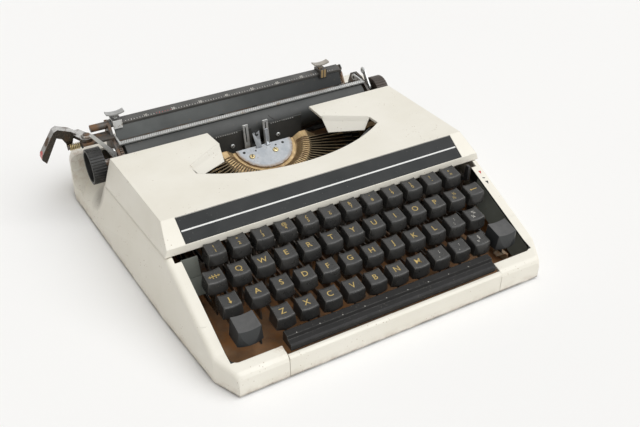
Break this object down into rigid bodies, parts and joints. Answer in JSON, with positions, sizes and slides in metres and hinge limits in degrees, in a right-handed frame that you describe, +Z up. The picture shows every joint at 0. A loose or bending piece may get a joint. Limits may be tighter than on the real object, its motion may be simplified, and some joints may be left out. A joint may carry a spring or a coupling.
{
  "type": "portable typewriter",
  "caption": "Portable typewriter with a cream body, lift-up ribbon cover, staggered keyboard, slotted type basket and a sliding carriage with platen, paper bail and return lever.",
  "frame": {"origin": "Middle of the bounding box in plan, on the table under the feet.", "axes": "+X to the typist's right, +Y from the keyboard to the back, +Z up."},
  "size_m": [0.3448, 0.3164, 0.0838],
  "materials": {
    "cream_paint": "aged satin cream paint, chipped at the edges",
    "charcoal_paint": "satin charcoal paint",
    "black_plastic": "semi-gloss black",
    "dark_rubber": "matt, worn",
    "plain_steel": "dull, lightly tarnished",
    "zinc_plate": "matt zinc plate",
    "bronze": "tarnished bronze",
    "spring_brass": "drawn wire",
    "chrome": "worn chrome plate",
    "black_enamel": "black enamel",
    "brown_enamel": "brown, rusty"
  },
  "bodies": {
    "chassis": {"body_shell": "cream_paint", "front_strip": "cream_paint", "base_pan": "brown_enamel", "feet": "dark_rubber", "pan_screws": "plain_steel", "left_frame": "plain_steel", "right_frame": "plain_steel", "rear_plate": "plain_steel", "key_shaft": "plain_steel", "key_comb": "zinc_plate", "segment": "bronze", "face_plate": "zinc_plate", "type_bars": "plain_steel", "type_rest": "black_enamel", "card_holder": "black_enamel", "carriage_rail": "plain_steel", "bell": "chrome"},
    "cover": {"ribbon_cover": "cream_paint", "cover_band": "charcoal_paint"},
    "key_row_1": {"key_caps_1": "black_plastic", "key_levers_1": "plain_steel"},
    "key_row_2": {"key_caps_2": "black_plastic", "key_levers_2": "plain_steel"},
    "key_row_3": {"key_caps_3": "black_plastic", "key_levers_3": "plain_steel"},
    "key_row_4": {"key_caps_4": "black_plastic", "key_levers_4": "plain_steel"},
    "lead_key": {"lead_cap": "black_plastic", "lead_lever": "plain_steel"},
    "shift_lock_key": {"shift_lock": "black_plastic"},
    "left_shift_key": {"left_shift": "black_plastic"},
    "right_shift_key": {"right_shift": "black_plastic"},
    "margin_release_key": {"margin_release": "black_plastic"},
    "backspace_key": {"backspace": "black_plastic"},
    "space_key": {"space_bar": "black_plastic", "space_arms": "plain_steel"},
    "selector": {"color_selector": "chrome"},
    "type_lead": {"lead_type_bar": "plain_steel"},
    "vibrator": {"ribbon_vibrator": "zinc_plate"},
    "spool_left": {"left_spool": "black_enamel"},
    "spool_right": {"right_spool": "black_enamel"},
    "truck": {"carriage_truck": "plain_steel"},
    "escapement": {"escape_wheel": "bronze"},
    "mainspring": {"spring_drum": "plain_steel"},
    "carriage": {"carriage_frame": "charcoal_paint", "paper_table": "charcoal_paint", "margin_rail": "charcoal_paint", "lever_spring": "spring_brass"},
    "roller": {"platen": "dark_rubber", "platen_shaft": "plain_steel", "left_knob": "black_plastic", "right_knob": "black_plastic", "line_ratchet": "plain_steel"},
    "feed": {"feed_roller": "dark_rubber"},
    "stop_left": {"left_margin_stop": "chrome"},
    "stop_right": {"right_margin_stop": "chrome"},
    "bail": {"paper_bail": "chrome"},
    "return_arm": {"return_lever": "chrome"},
    "line_space": {"line_space_lever": "zinc_plate"},
    "release": {"release_lever": "chrome"}
  },
  "joints": [
    {"name": "cover_hinge", "type": "hinge", "parent": "chassis", "child": "cover", "pos_m": [0.01141, 0.07165, 0.0597], "axis": [-1, 0, 0], "range_deg": [0, 60]},
    {"name": "key_row_1_press", "type": "hinge", "parent": "chassis", "child": "key_row_1", "pos_m": [0.01141, 0.05465, 0.014], "axis": [1, 0, 0], "range_deg": [0, 5.18], "stiffness_Nm_per_rad": 1.5, "springref_deg": -17.19},
    {"name": "key_row_2_press", "type": "hinge", "parent": "chassis", "child": "key_row_2", "pos_m": [0.01141, 0.05465, 0.014], "axis": [1, 0, 0], "range_deg": [0, 4.44], "stiffness_Nm_per_rad": 1.5, "springref_deg": -17.19},
    {"name": "key_row_3_press", "type": "hinge", "parent": "chassis", "child": "key_row_3", "pos_m": [0.01141, 0.05465, 0.014], "axis": [1, 0, 0], "range_deg": [0, 3.89], "stiffness_Nm_per_rad": 1.5, "springref_deg": -17.19},
    {"name": "key_row_4_press", "type": "hinge", "parent": "chassis", "child": "key_row_4", "pos_m": [0.01141, 0.05465, 0.014], "axis": [1, 0, 0], "range_deg": [0, 3.46], "stiffness_Nm_per_rad": 1.5, "springref_deg": -17.19},
    {"name": "lead_key_press", "type": "hinge", "parent": "chassis", "child": "lead_key", "pos_m": [0.01141, 0.05465, 0.014], "axis": [1, 0, 0], "range_deg": [0, 4.44], "stiffness_Nm_per_rad": 0.3, "springref_deg": -17.19},
    {"name": "shift_lock_press", "type": "hinge", "parent": "chassis", "child": "shift_lock_key", "pos_m": [0.01141, 0.05465, 0.014], "axis": [1, 0, 0], "range_deg": [0, 2.65], "stiffness_Nm_per_rad": 0.15, "springref_deg": -17.19},
    {"name": "left_shift_press", "type": "hinge", "parent": "chassis", "child": "left_shift_key", "pos_m": [0.01141, 0.05465, 0.014], "axis": [1, 0, 0], "range_deg": [0, 3.4], "stiffness_Nm_per_rad": 0.3, "springref_deg": -17.19},
    {"name": "right_shift_press", "type": "hinge", "parent": "chassis", "child": "right_shift_key", "pos_m": [0.01141, 0.05465, 0.014], "axis": [1, 0, 0], "range_deg": [0, 3.4], "stiffness_Nm_per_rad": 0.3, "springref_deg": -17.19},
    {"name": "margin_release_press", "type": "hinge", "parent": "chassis", "child": "margin_release_key", "pos_m": [0.01141, 0.05465, 0.014], "axis": [1, 0, 0], "range_deg": [0, 3.84], "stiffness_Nm_per_rad": 0.15, "springref_deg": -17.19},
    {"name": "backspace_press", "type": "hinge", "parent": "chassis", "child": "backspace_key", "pos_m": [0.01141, 0.05465, 0.014], "axis": [1, 0, 0], "range_deg": [0, 4.44], "stiffness_Nm_per_rad": 0.15, "springref_deg": -17.19},
    {"name": "space_bar_press", "type": "hinge", "parent": "chassis", "child": "space_key", "pos_m": [0.01141, 0.05465, 0.014], "axis": [1, 0, 0], "range_deg": [0, 2.27], "stiffness_Nm_per_rad": 0.5, "springref_deg": -17.19},
    {"name": "color_select", "type": "hinge", "parent": "chassis", "child": "selector", "pos_m": [0.01141, -0.04635, 0.034], "axis": [1, 0, 0], "range_deg": [-7, 7]},
    {"name": "lead_bar_swing", "type": "hinge", "parent": "chassis", "child": "type_lead", "pos_m": [0.01141, 0.03453, 0.03292], "axis": [-1, 0, 0], "range_deg": [0, 165.4]},
    {"name": "ribbon_lift", "type": "slide", "parent": "chassis", "child": "vibrator", "axis": [0, 0, 1], "range_m": [0, 0.008]},
    {"name": "left_spool_turn", "type": "hinge", "parent": "chassis", "child": "spool_left", "pos_m": [-0.09556, 0.01065, 0.044], "axis": [0, 0, 1], "continuous": true},
    {"name": "right_spool_turn", "type": "hinge", "parent": "chassis", "child": "spool_right", "pos_m": [0.11839, 0.01065, 0.044], "axis": [0, 0, 1], "continuous": true},
    {"name": "carriage_slide", "type": "slide", "parent": "chassis", "child": "truck", "axis": [1, 0, 0], "range_m": [-0.1, 0.1]},
    {"name": "escape_turn", "type": "hinge", "parent": "chassis", "child": "escapement", "pos_m": [0.01141, 0.13485, 0.0355], "axis": [0, 0, 1], "range_deg": [-720, 720]},
    {"name": "drum_turn", "type": "hinge", "parent": "chassis", "child": "mainspring", "pos_m": [-0.08856, 0.13785, 0.022], "axis": [0, 1, 0], "range_deg": [-440, 440]},
    {"name": "carriage_lift", "type": "slide", "parent": "truck", "child": "carriage", "axis": [0, 0, 1], "range_m": [0, 0.006]},
    {"name": "platen_turn", "type": "hinge", "parent": "carriage", "child": "roller", "pos_m": [0.01141, 0.09965, 0.048], "axis": [1, 0, 0], "continuous": true},
    {"name": "feed_turn", "type": "hinge", "parent": "carriage", "child": "feed", "pos_m": [0.01141, 0.09065, 0.0324], "axis": [1, 0, 0], "continuous": true},
    {"name": "left_stop_slide", "type": "slide", "parent": "carriage", "child": "stop_left", "axis": [1, 0, 0], "range_m": [0, 0.09]},
    {"name": "right_stop_slide", "type": "slide", "parent": "carriage", "child": "stop_right", "axis": [1, 0, 0], "range_m": [-0.09, 0]},
    {"name": "bail_hinge", "type": "hinge", "parent": "carriage", "child": "bail", "pos_m": [0.01141, 0.11365, 0.062], "axis": [-1, 0, 0], "range_deg": [0, 40]},
    {"name": "return_swing", "type": "hinge", "parent": "carriage", "child": "return_arm", "pos_m": [-0.13409, 0.10965, 0.07], "axis": [0, 0, -1], "range_deg": [0, 30], "stiffness_Nm_per_rad": 0.05, "springref_deg": -11.46},
    {"name": "line_space_tilt", "type": "hinge", "parent": "carriage", "child": "line_space", "pos_m": [-0.11609, 0.09665, 0.058], "axis": [1, 0, 0], "range_deg": [-10, 10]},
    {"name": "release_tilt", "type": "hinge", "parent": "carriage", "child": "release", "pos_m": [0.13891, 0.09665, 0.058], "axis": [1, 0, 0], "range_deg": [0, 18]}
  ],
  "couplings": [
    {"joint": "lead_bar_swing", "follows": "lead_key_press", "ratio": 37.251},
    {"joint": "ribbon_lift", "follows": "lead_key_press", "m_per_rad": 0.10195},
    {"joint": "right_shift_press", "follows": "left_shift_press", "ratio": 1},
    {"joint": "carriage_lift", "follows": "left_shift_press", "m_per_rad": 0.10027},
    {"joint": "right_spool_turn", "follows": "left_spool_turn", "ratio": 1},
    {"joint": "escape_turn", "follows": "carriage_slide", "rad_per_m": 125},
    {"joint": "drum_turn", "follows": "carriage_slide", "rad_per_m": 74.074},
    {"joint": "feed_turn", "follows": "platen_turn", "ratio": -6}
  ]
}
